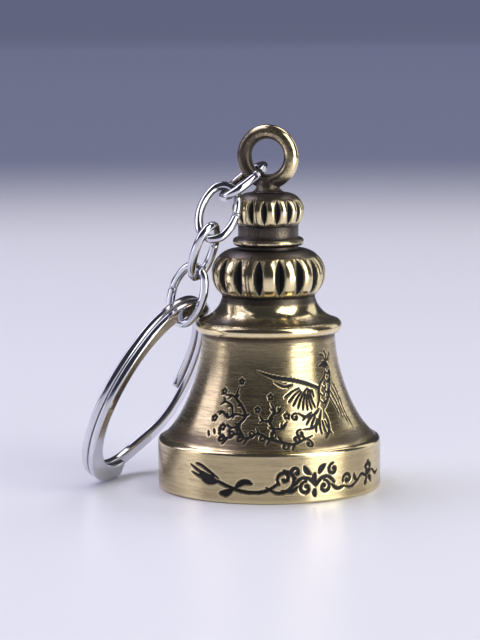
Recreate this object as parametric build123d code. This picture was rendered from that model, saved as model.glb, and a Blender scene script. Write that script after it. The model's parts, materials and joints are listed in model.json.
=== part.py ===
from build123d import *
import math
import os

# A small key-ring bell of turned and cast brass with a nickel-plated chain.
# Millimetres. Z is the bell's axis, the mouth rests on z = 0 and the front faces -Y.
# Angles "from front" are counted about Z from -Y, positive towards +X.

# Bell shell
LIP_RADIUS = 15.0
BAND_HEIGHT = 6.75
BAND_EDGE = 0.55
LIP_EDGE = 0.25
LIP_WALL = 1.6
WALL = 1.3
WAIST_TOP_RADIUS = 8.9
CROWN_HEIGHT = 20.8
CROWN_THICKNESS = 1.5
FLARE_ANGLE = 35.0
FLARE_REACH = 3.2
WAIST_REACH = 5.3

# Shoulder cap
CAP_HEIGHT = 5.05
CAP_OVERHANG = 0.1
RIM_RADIUS = 9.85
RIM_HEIGHT = 1.75
CAP_TOP_RADIUS = 6.25
CAP_HOLLOW = 0.35

# Fluted knops
FLUTES = 16
LOWER_KNOP_HEIGHT = 6.1
LOWER_KNOP_RADIUS = 7.66
LOWER_KNOP_BELLY = 2.6
LOWER_KNOP_TOP_RADIUS = 5.1
LOWER_FLUTE_DEPTH = 1.16
LOWER_FLUTE_WIDTH = 1.46
LOWER_FLUTE_FROM_FRONT = -10.5
UPPER_KNOP_HEIGHT = 4.35
UPPER_KNOP_RADIUS = 4.83
UPPER_KNOP_BELLY = 2.1
UPPER_KNOP_TOP_RADIUS = 2.6
UPPER_FLUTE_DEPTH = 0.72
UPPER_FLUTE_WIDTH = 1.05
UPPER_FLUTE_FROM_FRONT = -7.0

# Neck collar
NECK_RADIUS = 4.05
NECK_HEIGHT = 3.2
BEAD_RADIUS = 4.78
BEAD_HEIGHT = 1.05
BEAD_CENTRE = 1.05

# Hanging eye with its foot, stud and tang
EYE_RADIUS = 3.325
EYE_TUBE = 1.0
EYE_LIFT = 4.8
EYE_TURN = -20.0
FOOT_RADIUS = 2.65
FOOT_NECK = 1.35
FOOT_HEIGHT = 1.45
STUD_RADIUS = 1.5
STUD_CLEARANCE = 0.05
TANG_WIDTH = 2.4
TANG_THICKNESS = 1.0
TANG_LENGTH = 2.2
TANG_HOLE = 0.58

# Washer and nut that clamp the stack inside the shell
WASHER_RADIUS = 3.5
WASHER_THICKNESS = 0.5
NUT_ACROSS_FLATS = 5.5
NUT_HEIGHT = 1.8
STUD_BEYOND_NUT = 0.4

# Clapper
JUMP_RADIUS = 1.6
JUMP_WIRE = 0.4
HOOK_CLEARANCE = 0.05
CLAPPER_EYE_RADIUS = 1.1
CLAPPER_EYE_WIRE = 0.45
CLAPPER_ROD = 0.5
BALL_RADIUS = 3.2
BALL_ABOVE_MOUTH = 1.95
BALL_FLAT = 0.25
BALL_CLEARANCE = 0.02
PEEN_RADIUS = 0.95
PEEN_HEIGHT = 0.45

# Chain link: its wire, its opening and the inner radius of its end bends
WIRE = 1.15
LINK_OPENING_LENGTH = 7.15
LINK_OPENING_WIDTH = 3.65
LINK_END_RADIUS = 1.275

# Split ring: two coils of flat wire
RING_RADIUS = 14.0
RING_SECTION = 2.4
COIL_THICKNESS = 0.95
COIL_GAP = 0.05
COIL_ROUNDING = 0.3
CROSSOVER_ANGLE = 50.0
CROSSOVER_STATIONS = 8
COIL_END_GAP = 2.5

# How the slack chain lies at rest: each link's centre from the eye's centre, then the heading and
# dip of its length and its roll about that length, from the eye down to the split ring
LINKS = [
    (Vector(-3.25, -1.05, -3.15), -122, 24, -158),
    (Vector(-6.55, -4.85, -7.0), -117, 52, -20),
    (Vector(-8.5, -5.25, -12.15), 109, 55, 142),
    (Vector(-10.8, -2.75, -18.2), 142, 65, -96),
]

# Where the last link holds the ring's edge, from the eye's centre, and that point's place round it
RING_HELD_AT = Vector(-10.936, -2.353, -18.937)
RING_HELD_ANGLE = 95.0
RING_HEADING = -22.0
RING_LEAN = -27.0
RING_TURN = -70.0

# Heights of the stack, from the seats outwards
CAP_TOP = CROWN_HEIGHT + CAP_HEIGHT
LOWER_KNOP_TOP = CAP_TOP + LOWER_KNOP_HEIGHT
NECK_TOP = LOWER_KNOP_TOP + NECK_HEIGHT
UPPER_KNOP_TOP = NECK_TOP + UPPER_KNOP_HEIGHT
EYE_CENTRE = Vector(0, 0, UPPER_KNOP_TOP + EYE_LIFT)
CROWN_UNDERSIDE = CROWN_HEIGHT - CROWN_THICKNESS
WASHER_UNDERSIDE = CROWN_UNDERSIDE - WASHER_THICKNESS
NUT_UNDERSIDE = WASHER_UNDERSIDE - NUT_HEIGHT
STUD_END = NUT_UNDERSIDE - STUD_BEYOND_NUT
TANG_END = STUD_END - TANG_LENGTH
TANG_HOLE_HEIGHT = TANG_END + TANG_WIDTH / 2
BORE_RADIUS = STUD_RADIUS + STUD_CLEARANCE

# Heights of the clapper, hooked below the tang
JUMP_PIVOT_HEIGHT = TANG_HOLE_HEIGHT - HOOK_CLEARANCE
JUMP_BOTTOM = JUMP_PIVOT_HEIGHT - 2 * JUMP_RADIUS
CLAPPER_PIVOT_HEIGHT = JUMP_BOTTOM + JUMP_WIRE + CLAPPER_EYE_WIRE + HOOK_CLEARANCE
CLAPPER_EYE_HEIGHT = CLAPPER_PIVOT_HEIGHT - CLAPPER_EYE_RADIUS
BALL_HEIGHT = BALL_ABOVE_MOUTH + BALL_RADIUS - BALL_FLAT


def at(radius, height):
    """A point of a half section, in the XZ plane."""
    return (radius, 0, height)


def turned(outline):
    """The solid that a closed half section sweeps about Z."""
    return revolve(make_face(outline.edges()), Axis.Z)


def waist(radius, height, top_radius, top_height):
    """The flare from the lip band, leaving at FLARE_ANGLE and ending upright at the crown."""
    angle = math.radians(FLARE_ANGLE)
    foot = Vector(radius, 0, height)
    top = Vector(top_radius, 0, top_height)
    leaving = Vector(-math.cos(angle), 0, math.sin(angle)) * FLARE_REACH
    return Bezier(foot, foot + leaving, top - Vector(0, 0, WAIST_REACH), top)


def bell_shell():
    """The turned bell: lip band, flared waist and flat crown with a hole for the stud."""
    diagonal = math.sqrt(0.5)
    band_side = BAND_HEIGHT - BAND_EDGE
    inner_lip = LIP_RADIUS - LIP_WALL
    outline = Line(at(inner_lip, 0), at(LIP_RADIUS - LIP_EDGE, 0))
    outline += ThreePointArc(
        at(LIP_RADIUS - LIP_EDGE, 0),
        at(LIP_RADIUS - LIP_EDGE * (1 - diagonal), LIP_EDGE * (1 - diagonal)),
        at(LIP_RADIUS, LIP_EDGE),
    )
    outline += Line(at(LIP_RADIUS, LIP_EDGE), at(LIP_RADIUS, band_side))
    outline += ThreePointArc(
        at(LIP_RADIUS, band_side),
        at(LIP_RADIUS - BAND_EDGE * (1 - diagonal), band_side + BAND_EDGE * diagonal),
        at(LIP_RADIUS - BAND_EDGE, BAND_HEIGHT),
    )
    outline += waist(LIP_RADIUS - BAND_EDGE, BAND_HEIGHT, WAIST_TOP_RADIUS, CROWN_HEIGHT)
    outline += Polyline(
        at(WAIST_TOP_RADIUS, CROWN_HEIGHT),
        at(BORE_RADIUS, CROWN_HEIGHT),
        at(BORE_RADIUS, CROWN_UNDERSIDE),
        at(WAIST_TOP_RADIUS - WALL, CROWN_UNDERSIDE),
    )
    inner_band = BAND_HEIGHT - WALL
    outline += waist(inner_lip, inner_band, WAIST_TOP_RADIUS - WALL, CROWN_UNDERSIDE)
    outline += Line(at(inner_lip, inner_band), at(inner_lip, 0))
    return turned(outline)


def shoulder_cap():
    """The cast cap: a half-round rim that overhangs the waist and a hollow slope up to the knop."""
    seat = WAIST_TOP_RADIUS + CAP_OVERHANG
    rim_top = CROWN_HEIGHT + RIM_HEIGHT
    slope_top = CAP_TOP - CAP_HOLLOW
    outline = Polyline(at(BORE_RADIUS, CAP_TOP), at(BORE_RADIUS, CROWN_HEIGHT), at(seat, CROWN_HEIGHT))
    outline += ThreePointArc(
        at(seat, CROWN_HEIGHT),
        at(RIM_RADIUS, CROWN_HEIGHT + RIM_HEIGHT / 2),
        at(seat + CAP_OVERHANG, rim_top),
    )
    outline += ThreePointArc(
        at(seat + CAP_OVERHANG, rim_top),
        at((seat + CAP_TOP_RADIUS) / 2 - CAP_HOLLOW, (rim_top + slope_top) / 2 - CAP_HOLLOW),
        at(CAP_TOP_RADIUS, slope_top),
    )
    outline += Polyline(at(CAP_TOP_RADIUS, slope_top), at(CAP_TOP_RADIUS, CAP_TOP), at(BORE_RADIUS, CAP_TOP))
    return turned(outline)


def flutes(radius, depth, width, height, base, from_front):
    """V-section cutters with a straight upright bottom, so each leaves a lens-shaped slot."""
    bottom = radius - depth
    beyond = 1.5
    mouth = width / 2 * (depth + beyond) / depth
    section = make_face(Polyline((bottom, 0), (radius + beyond, mouth), (radius + beyond, -mouth), close=True))
    cutter = Pos(0, 0, base) * extrude(section, height)
    step = 360 / FLUTES
    return [Rot(0, 0, from_front - 90 + step * index) * cutter for index in range(FLUTES)]


def lower_knop():
    """The larger fluted knop, seated on the shoulder cap."""
    outline = Polyline(
        at(LOWER_KNOP_TOP_RADIUS, LOWER_KNOP_TOP),
        at(BORE_RADIUS, LOWER_KNOP_TOP),
        at(BORE_RADIUS, CAP_TOP),
        at(CAP_TOP_RADIUS, CAP_TOP),
    )
    outline += ThreePointArc(
        at(CAP_TOP_RADIUS, CAP_TOP),
        at(LOWER_KNOP_RADIUS, CAP_TOP + LOWER_KNOP_BELLY),
        at(LOWER_KNOP_TOP_RADIUS, LOWER_KNOP_TOP),
    )
    cutters = flutes(
        LOWER_KNOP_RADIUS, LOWER_FLUTE_DEPTH, LOWER_FLUTE_WIDTH,
        LOWER_KNOP_HEIGHT, CAP_TOP, LOWER_FLUTE_FROM_FRONT,
    )
    return turned(outline) - cutters


def neck_collar():
    """The plain neck with a raised bead."""
    bead = LOWER_KNOP_TOP + BEAD_CENTRE
    outline = Line(at(NECK_RADIUS, LOWER_KNOP_TOP), at(NECK_RADIUS, bead - BEAD_HEIGHT / 2))
    outline += ThreePointArc(
        at(NECK_RADIUS, bead - BEAD_HEIGHT / 2),
        at(BEAD_RADIUS, bead),
        at(NECK_RADIUS, bead + BEAD_HEIGHT / 2),
    )
    outline += Polyline(
        at(NECK_RADIUS, bead + BEAD_HEIGHT / 2),
        at(NECK_RADIUS, NECK_TOP),
        at(BORE_RADIUS, NECK_TOP),
        at(BORE_RADIUS, LOWER_KNOP_TOP),
        at(NECK_RADIUS, LOWER_KNOP_TOP),
    )
    return turned(outline)


def upper_knop():
    """The smaller fluted knop: upright at its belly, flatter over the top."""
    belly = NECK_TOP + UPPER_KNOP_BELLY
    rise = UPPER_KNOP_TOP - belly
    outline = Polyline(
        at(UPPER_KNOP_TOP_RADIUS, UPPER_KNOP_TOP),
        at(BORE_RADIUS, UPPER_KNOP_TOP),
        at(BORE_RADIUS, NECK_TOP),
        at(NECK_RADIUS, NECK_TOP),
    )
    outline += TangentArc(at(UPPER_KNOP_RADIUS, belly), at(NECK_RADIUS, NECK_TOP), tangent=(0, 0, -1))
    outline += Bezier(
        at(UPPER_KNOP_RADIUS, belly),
        at(UPPER_KNOP_RADIUS, belly + rise / 2),
        at((UPPER_KNOP_RADIUS + UPPER_KNOP_TOP_RADIUS) / 2, UPPER_KNOP_TOP),
        at(UPPER_KNOP_TOP_RADIUS, UPPER_KNOP_TOP),
    )
    cutters = flutes(
        UPPER_KNOP_RADIUS, UPPER_FLUTE_DEPTH, UPPER_FLUTE_WIDTH,
        UPPER_KNOP_HEIGHT, NECK_TOP, UPPER_FLUTE_FROM_FRONT,
    )
    return turned(outline) - cutters


def ring_of_wire(centre, axis, radius, wire):
    """A closed round-wire ring."""
    return Plane(origin=centre, z_dir=axis) * Torus(radius, wire)


def hanging_eye():
    """The eye on its flared foot, with the stud that ties the stack together and a drilled tang."""
    turn = math.radians(EYE_TURN)
    eye = ring_of_wire(EYE_CENTRE, Vector(math.sin(turn), -math.cos(turn), 0), EYE_RADIUS, EYE_TUBE)
    foot_top = UPPER_KNOP_TOP + FOOT_HEIGHT
    outline = Polyline(
        at(FOOT_NECK, foot_top), at(0, foot_top), at(0, UPPER_KNOP_TOP), at(FOOT_RADIUS, UPPER_KNOP_TOP)
    )
    outline += ThreePointArc(
        at(FOOT_RADIUS, UPPER_KNOP_TOP),
        at(
            FOOT_NECK + (FOOT_RADIUS - FOOT_NECK) * (1 - math.sqrt(0.5)),
            UPPER_KNOP_TOP + FOOT_HEIGHT * (1 - math.sqrt(0.5)),
        ),
        at(FOOT_NECK, foot_top),
    )
    stud = Pos(0, 0, STUD_END) * extrude(Circle(STUD_RADIUS), UPPER_KNOP_TOP - STUD_END)
    tang_centre = Plane(origin=(0, TANG_THICKNESS / 2, TANG_HOLE_HEIGHT), z_dir=(0, -1, 0))
    tang = extrude(tang_centre * Circle(TANG_WIDTH / 2), TANG_THICKNESS)
    tang += Pos(0, 0, (TANG_HOLE_HEIGHT + STUD_END) / 2) * Box(
        TANG_WIDTH, TANG_THICKNESS, STUD_END - TANG_HOLE_HEIGHT
    )
    hole = extrude(tang_centre * Circle(TANG_HOLE), TANG_THICKNESS)
    return eye + turned(outline) + stud + tang - hole


def crown_washer():
    """The plain washer under the crown."""
    ring = Circle(WASHER_RADIUS) - Circle(BORE_RADIUS)
    return Pos(0, 0, WASHER_UNDERSIDE) * extrude(ring, WASHER_THICKNESS)


def crown_nut():
    """The thin hexagon nut, with chamfered corners on its lower side."""
    side = NUT_ACROSS_FLATS / 2
    corner = side / math.cos(math.pi / 6)
    nut = Pos(0, 0, NUT_UNDERSIDE) * extrude(RegularPolygon(corner, 6) - Circle(BORE_RADIUS), NUT_HEIGHT)
    chamfer = turned(Polyline(
        at(0, NUT_UNDERSIDE),
        at(side, NUT_UNDERSIDE),
        at(corner, NUT_UNDERSIDE + (corner - side)),
        at(corner, WASHER_UNDERSIDE),
        at(0, WASHER_UNDERSIDE),
        at(0, NUT_UNDERSIDE),
    ))
    return nut & chamfer


def clapper_ring():
    """The jump ring through the tang's hole."""
    return ring_of_wire(Vector(0, 0, JUMP_PIVOT_HEIGHT - JUMP_RADIUS), Vector(1, 0, 0), JUMP_RADIUS, JUMP_WIRE)


def clapper_rod():
    """The clapper's wire: an eye at the top and a peened head under the ball."""
    eye = ring_of_wire(Vector(0, 0, CLAPPER_EYE_HEIGHT), Vector(0, 1, 0), CLAPPER_EYE_RADIUS, CLAPPER_EYE_WIRE)
    rod_top = CLAPPER_EYE_HEIGHT - CLAPPER_EYE_RADIUS
    rod = Pos(0, 0, BALL_ABOVE_MOUTH) * extrude(Circle(CLAPPER_ROD), rod_top - BALL_ABOVE_MOUTH)
    peen = Pos(0, 0, BALL_ABOVE_MOUTH - PEEN_HEIGHT) * extrude(Circle(PEEN_RADIUS), PEEN_HEIGHT)
    peen = fillet(peen.edges().sort_by(Axis.Z)[0], PEEN_HEIGHT * 0.6)
    return eye + rod + peen


def clapper_ball():
    """The turned ball, flat where the peened head bears and bored for the rod."""
    ball = Pos(0, 0, BALL_HEIGHT) * Sphere(BALL_RADIUS)
    ball = split(ball, Plane.XY.offset(BALL_ABOVE_MOUTH), keep=Keep.TOP)
    bore = Pos(0, 0, BALL_ABOVE_MOUTH) * extrude(Circle(CLAPPER_ROD + BALL_CLEARANCE), 2 * BALL_RADIUS)
    return ball - bore


def placed(centre, heading, dip, roll):
    """A link's plane: X along its length at the heading and dip, turned by the roll about it.

    The centre is counted from the eye's centre."""
    heading, dip, roll = (math.radians(angle) for angle in (heading, dip, roll))
    along = Vector(
        math.cos(dip) * math.cos(heading), math.cos(dip) * math.sin(heading), -math.sin(dip)
    )
    level = Vector(0, 0, 1).cross(along).normalized()
    across = level * math.cos(roll) + along.cross(level) * math.sin(roll)
    return Plane(origin=EYE_CENTRE + centre, x_dir=along, z_dir=along.cross(across))


def bent_wire(centre, radius, start, sweep_angle):
    """A round-wire arc in the XY plane."""
    turn = Axis((*centre, 0), (0, 0, 1))
    section = Plane(origin=(centre[0] + radius, centre[1], 0), z_dir=(0, 1, 0)) * Circle(WIRE / 2)
    return revolve(section, turn, sweep_angle).rotate(turn, start)


def oval_link():
    """A closed link: two small end bends and two long side bends that meet in tangents."""
    end_radius = LINK_END_RADIUS + WIRE / 2
    half_width = (LINK_OPENING_WIDTH + WIRE) / 2
    end_centre = (LINK_OPENING_LENGTH + WIRE) / 2 - end_radius
    side_radius = (end_centre**2 + half_width**2 - end_radius**2) / (2 * (half_width - end_radius))
    side_centre = side_radius - half_width
    half_bend = math.degrees(math.atan2(side_centre, end_centre))
    side_bend = 180 - 2 * half_bend
    link = bent_wire((end_centre, 0), end_radius, -half_bend, 2 * half_bend)
    link += bent_wire((0, -side_centre), side_radius, half_bend, side_bend)
    link += bent_wire((-end_centre, 0), end_radius, 180 - half_bend, 2 * half_bend)
    link += bent_wire((0, side_centre), side_radius, 180 + half_bend, side_bend)
    return link


def split_ring():
    """Two coils of flat wire side by side, joined where the wire crosses from one to the other."""
    middle = RING_RADIUS - RING_SECTION / 2
    offset = (COIL_THICKNESS + COIL_GAP) / 2
    coil_angle = 360 - CROSSOVER_ANGLE - math.degrees(COIL_END_GAP / middle)
    flat = RectangleRounded(RING_SECTION, COIL_THICKNESS, COIL_ROUNDING)

    def section(share):
        """The wire's section at a share of the crossover, 0 on the first coil and 1 on the second."""
        height = -offset * math.cos(math.pi * share)
        upright = Plane(origin=(middle, 0, height), x_dir=(1, 0, 0), z_dir=(0, -1, 0))
        return Rot(0, 0, CROSSOVER_ANGLE * share) * (upright * flat)

    first = revolve(section(0), Axis.Z, -coil_angle)
    crossover = loft([section(step / CROSSOVER_STATIONS) for step in range(CROSSOVER_STATIONS + 1)])
    second = revolve(section(1), Axis.Z, coil_angle)
    return first + crossover + second


def ring_plane():
    """The leaning split ring's plane, about its centre."""
    heading = math.radians(RING_HEADING)
    lean = math.radians(RING_LEAN)
    held = math.radians(RING_HELD_ANGLE)
    normal = Vector(
        math.cos(lean) * math.cos(heading), math.cos(lean) * math.sin(heading), math.sin(lean)
    )
    level = Vector(-math.sin(heading), math.cos(heading), 0)
    arm = level * math.cos(held) + normal.cross(level) * math.sin(held)
    return Plane(origin=EYE_CENTRE + RING_HELD_AT - arm * RING_RADIUS, x_dir=level, z_dir=normal)


pieces = {
    "bell_shell": bell_shell(),
    "shoulder_cap": shoulder_cap(),
    "lower_knop": lower_knop(),
    "neck_collar": neck_collar(),
    "upper_knop": upper_knop(),
    "hanging_eye": hanging_eye(),
    "crown_washer": crown_washer(),
    "crown_nut": crown_nut(),
    "clapper_ring": clapper_ring(),
    "clapper_rod": clapper_rod(),
    "clapper_ball": clapper_ball(),
    "split_ring": ring_plane() * Rot(0, 0, RING_TURN) * split_ring(),
}
for number, pose in enumerate(LINKS, start=1):
    pieces[f"chain_link_{number}"] = placed(*pose) * oval_link()

os.makedirs("parts", exist_ok=True)
for name, solid in pieces.items():
    export_step(solid, f"parts/{name}.step")
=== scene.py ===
"""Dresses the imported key-ring bell in antique bronze and polished nickel, in a pale studio.

Sizes are in millimetres until a mesh is made. Azimuths are counted about Z from the front, which
faces -Y, and are positive towards +X.
"""

import json
import logging
import math
from collections.abc import Callable, Sequence
from dataclasses import dataclass, field
from enum import Enum

import bpy
import numpy as np
from mathutils import Matrix, Vector

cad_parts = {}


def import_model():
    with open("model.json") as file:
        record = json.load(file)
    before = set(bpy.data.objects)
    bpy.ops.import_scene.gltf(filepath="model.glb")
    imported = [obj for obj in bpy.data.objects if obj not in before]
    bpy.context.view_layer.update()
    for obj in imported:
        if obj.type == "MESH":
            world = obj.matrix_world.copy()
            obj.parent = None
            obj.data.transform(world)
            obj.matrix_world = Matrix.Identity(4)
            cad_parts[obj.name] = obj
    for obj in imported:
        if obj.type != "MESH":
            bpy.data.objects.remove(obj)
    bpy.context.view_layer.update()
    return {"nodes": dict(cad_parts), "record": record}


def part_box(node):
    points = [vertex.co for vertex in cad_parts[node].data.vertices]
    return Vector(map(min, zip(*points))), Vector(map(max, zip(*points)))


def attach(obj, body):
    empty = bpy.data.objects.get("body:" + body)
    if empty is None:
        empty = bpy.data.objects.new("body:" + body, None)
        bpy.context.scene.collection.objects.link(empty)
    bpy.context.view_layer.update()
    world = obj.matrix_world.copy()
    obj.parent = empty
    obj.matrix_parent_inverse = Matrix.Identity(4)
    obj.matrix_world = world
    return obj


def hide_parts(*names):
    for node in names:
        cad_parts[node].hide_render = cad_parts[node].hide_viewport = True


LOG = logging.getLogger("bell")
METRES_PER_MM = 0.001
MM_PER_METRE = 1000.0

BORE_RADIUS = 1.55
LINK_COUNT = 4
# A distance that stands for "no stroke is near", and the smallest radius that is engraved.
NO_STROKE = 9.0
LEAST_ENGRAVED_RADIUS = 8

Colour = tuple[float, float, float]
Point = tuple[float, float]
Masks = dict[str, np.ndarray]


# Shader arithmetic


class Value:
    """A shader socket that plain arithmetic can use."""

    def __init__(self, bench: "Bench", socket: bpy.types.NodeSocket) -> None:
        """Wraps one output socket of a bench's tree."""
        self.bench = bench
        self.socket = socket

    def _math(self, operation: str, first: "Value | float", second: "Value | float") -> "Value":
        """One Math node on two values."""
        return self.bench.node("ShaderNodeMath", {"operation": operation}, {0: first, 1: second})

    def __add__(self, other: "Value | float") -> "Value":
        """self + other."""
        return self._math("ADD", self, other)

    def __radd__(self, other: float) -> "Value":
        """other + self."""
        return self._math("ADD", other, self)

    def __sub__(self, other: "Value | float") -> "Value":
        """self - other."""
        return self._math("SUBTRACT", self, other)

    def __rsub__(self, other: float) -> "Value":
        """other - self."""
        return self._math("SUBTRACT", other, self)

    def __mul__(self, other: "Value | float") -> "Value":
        """self * other."""
        return self._math("MULTIPLY", self, other)

    def __rmul__(self, other: float) -> "Value":
        """other * self."""
        return self._math("MULTIPLY", other, self)

    def ramp(self, low: float, high: float) -> "Value":
        """A smooth step that is 0 below low and 1 above high.

        Args:
            low: The value where the step starts.
            high: The value where the step is full.

        Returns:
            The stepped value, from 0 to 1.
        """
        return self.bench.node(
            "ShaderNodeMapRange",
            {"interpolation_type": "SMOOTHSTEP"},
            {"Value": self, "From Min": low, "From Max": high},
        )


class Bench:
    """The node tree of one finish, with a short way to add to it."""

    def __init__(self, name: str) -> None:
        """Starts a material with an empty tree and its surface node."""
        self.material = bpy.data.materials.new(name)
        self.material.use_nodes = True
        self.tree = self.material.node_tree
        self.tree.nodes.clear()

    def node(
        self,
        kind: str,
        settings: dict[str, object] | None = None,
        values: dict[str | int, object] | None = None,
        output: str | int = 0,
    ) -> Value:
        """Adds one node.

        Args:
            kind: The node's type.
            settings: Its own settings, set first. "stops" sets a colour ramp.
            values: What its sockets hold: numbers, colours or other values.
            output: The output that the returned value stands for.

        Returns:
            The chosen output.
        """
        made = self.tree.nodes.new(kind)
        for key, setting in (settings or {}).items():
            if key == "stops":
                self._set_stops(made.color_ramp, setting)
            else:
                setattr(made, key, setting)
        for key, value in (values or {}).items():
            socket = made.inputs[key]
            if isinstance(value, Value):
                self.tree.links.new(value.socket, socket)
            elif socket.type == "RGBA":
                socket.default_value = (*value[:3], 1.0)
            else:
                socket.default_value = value
        return Value(self, made.outputs[output])

    @staticmethod
    def _set_stops(ramp: bpy.types.ColorRamp, stops: Sequence[tuple[float, Colour]]) -> None:
        """Gives a colour ramp its stops, in order."""
        while len(ramp.elements) < len(stops):
            ramp.elements.new(1.0)
        for element, (position, colour) in zip(ramp.elements, stops, strict=True):
            element.position = position
            element.color = (*colour, 1.0)

    def mask(self, name: str) -> Value:
        """A mesh's own painted mask, 0 where the mesh has none."""
        return self.node("ShaderNodeAttribute", {"attribute_name": name}, output="Fac")

    def blend(self, share: Value, first: "Value | Colour", second: "Value | Colour") -> Value:
        """A colour that goes from first to second as share goes from 0 to 1."""
        settings = {"data_type": "RGBA", "clamp_factor": True}
        return self.node("ShaderNodeMix", settings, {0: share, 6: first, 7: second}, 2)

    def noise(
        self, place: Value, scale: float, detail: float = 3.0, roughness: float = 0.55
    ) -> Value:
        """Fractal noise, about 0.5 on average, over a place in millimetres."""
        values = {"Vector": place, "Scale": scale, "Detail": detail, "Roughness": roughness}
        return self.node("ShaderNodeTexNoise", {}, values)

    def place(self) -> Value:
        """The place on the piece, in millimetres in the row frame."""
        own = self.node("ShaderNodeTexCoord", output="Object")
        return self.node(
            "ShaderNodeVectorMath", {"operation": "SCALE"}, {0: own, "Scale": MM_PER_METRE}
        )

    def stretched(self, place: Value, factors: Sequence[float]) -> Value:
        """A place with each axis scaled by its own factor."""
        return self.node(
            "ShaderNodeVectorMath", {"operation": "MULTIPLY"}, {0: place, 1: tuple(factors)}
        )

    def around(self, place: Value, around: float, along: float) -> Value:
        """A place for marks that run round Z.

        Args:
            place: The place in millimetres.
            around: How fast the pattern changes round Z, per radian.
            along: How fast it changes along Z, per millimetre.

        Returns:
            A place where equal steps make the marks' own grain.
        """
        spoke = self.node(
            "ShaderNodeVectorMath", {"operation": "NORMALIZE"}, {
                0: self.stretched(place, (1, 1, 0))
            }
        )
        spoke = self.stretched(spoke, (around, around, around))
        height = self.stretched(place, (0, 0, along))
        return self.node("ShaderNodeVectorMath", {"operation": "ADD"}, {0: spoke, 1: height})

    def relief(self, height: Value, strength: float, distance_mm: float) -> Value:
        """A fine relief that feeds Normal."""
        values = {"Height": height, "Strength": strength, "Distance": distance_mm * METRES_PER_MM}
        return self.node("ShaderNodeBump", {}, values)

    def surface(self, values: dict[str, object]) -> bpy.types.Material:
        """Closes the tree with its surface.

        Args:
            values: What the surface's sockets hold.

        Returns:
            The finished material.
        """
        shader = self.node("ShaderNodeBsdfPrincipled", {}, values)
        out = self.tree.nodes.new("ShaderNodeOutputMaterial")
        self.tree.links.new(shader.socket, out.inputs["Surface"])
        return self.material


# Finishes


class Grain(Enum):
    """Which way a metal was rubbed."""

    TURNED = "turned"
    CAST = "cast"


@dataclass(frozen=True)
class AntiqueBronze:
    """Bronze plate that was blackened, then rubbed back so that dark stays in every hollow."""

    name: str
    grain: Grain
    bright: Colour = (0.78, 0.65, 0.38)
    body: Colour = (0.54, 0.435, 0.24)
    patina: Colour = (0.085, 0.062, 0.042)
    black: Colour = (0.010, 0.009, 0.009)
    roughness: float = 0.19
    age: float = 0.36
    spread: float = 0.0

    def build(self) -> bpy.types.Material:
        """Makes the material.

        Returns:
            Bronze whose hollows, from the mesh's masks, hold black.
        """
        bench = Bench(self.name)
        place = bench.place()
        if self.grain is Grain.TURNED:
            fine = bench.noise(bench.around(place, 5.0, 9.0), 1.0, 3.0, 0.6)
            broad = bench.noise(bench.around(place, 2.2, 2.2), 1.0, 4.0, 0.6)
        else:
            fine = bench.noise(place, 3.2, 4.0, 0.62)
            broad = bench.noise(place, 0.75, 4.0, 0.6)
        blotch = bench.noise(place, 0.33, 3.0, 0.55)
        speckle = bench.noise(place, 4.2, 2.0, 0.7)
        # This mask holds dirt and patina in hollows, and also painted shade that each piece puts
        # where shade falls.
        sheltered = bench.mask("sheltered")
        worn = bench.mask("worn")
        cut = bench.mask("cut")
        # The dirt value here, the patina share made from it and the pits all carry that painted shade
        # as well as real patina.
        dirt = 0.40 * broad + 0.22 * blotch + 0.46 * fine + 0.85 * sheltered - 0.45 * worn
        patina_and_painted_shade = dirt.ramp(0.60 - self.age * 0.35, 0.94 - self.age * 0.35)
        pits = (speckle + 0.45 * sheltered + 0.25 * blotch).ramp(0.86, 0.98)
        rubbed = (0.7 * fine + 0.5 * blotch + 0.6 * worn).ramp(0.42, 1.0)
        colour = bench.blend(rubbed, self.body, self.bright)
        colour = bench.blend(patina_and_painted_shade * 0.9, colour, self.patina)
        colour = bench.blend(pits * 0.75, colour, self.patina)
        colour = bench.blend(cut, colour, self.black)
        rough = self.roughness + 0.10 * fine + 0.12 * patina_and_painted_shade + 0.10 * pits - 0.06 * worn
        rough = rough + cut * 0.4
        height = 0.6 * fine + 0.25 * broad - 0.5 * pits
        return bench.surface(
            {
                "Base Color": colour,
                "Metallic": 1.0 - 0.25 * patina_and_painted_shade - 0.7 * cut,
                "Roughness": rough,
                "Anisotropic": self.spread,
                "Anisotropic Rotation": 0.25,
                "Normal": bench.relief(height, 0.35, 0.02),
            }
        )


@dataclass(frozen=True)
class PolishedNickel:
    """Bright nickel plate over steel wire, with hair-fine handling marks."""

    name: str = "bright_nickel"
    plate: Colour = (0.60, 0.60, 0.63)
    dull: Colour = (0.46, 0.45, 0.46)
    roughness: float = 0.055

    def build(self) -> bpy.types.Material:
        """Makes the material.

        Returns:
            Nickel that is duller in its seams, with painted shade where pieces meet.
        """
        bench = Bench(self.name)
        place = bench.place()
        hairs = bench.noise(bench.stretched(place, (5.0, 1.1, 1.6)), 1.0, 4.0, 0.7)
        haze = bench.noise(place, 0.5, 3.0, 0.5)
        # This mask holds the dark seams, and also painted shade where pieces meet.
        seam = bench.mask("sheltered")
        dulled = (haze + 0.5 * hairs).ramp(0.78, 1.05) * 0.25 + seam * 0.85
        rough = self.roughness + 0.06 * haze + 0.05 * hairs + 0.3 * seam
        return bench.surface(
            {
                "Base Color": bench.blend(dulled, self.plate, self.dull),
                "Metallic": 1.0,
                "Roughness": rough,
                "Normal": bench.relief(hairs, 0.08, 0.01),
            }
        )


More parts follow.
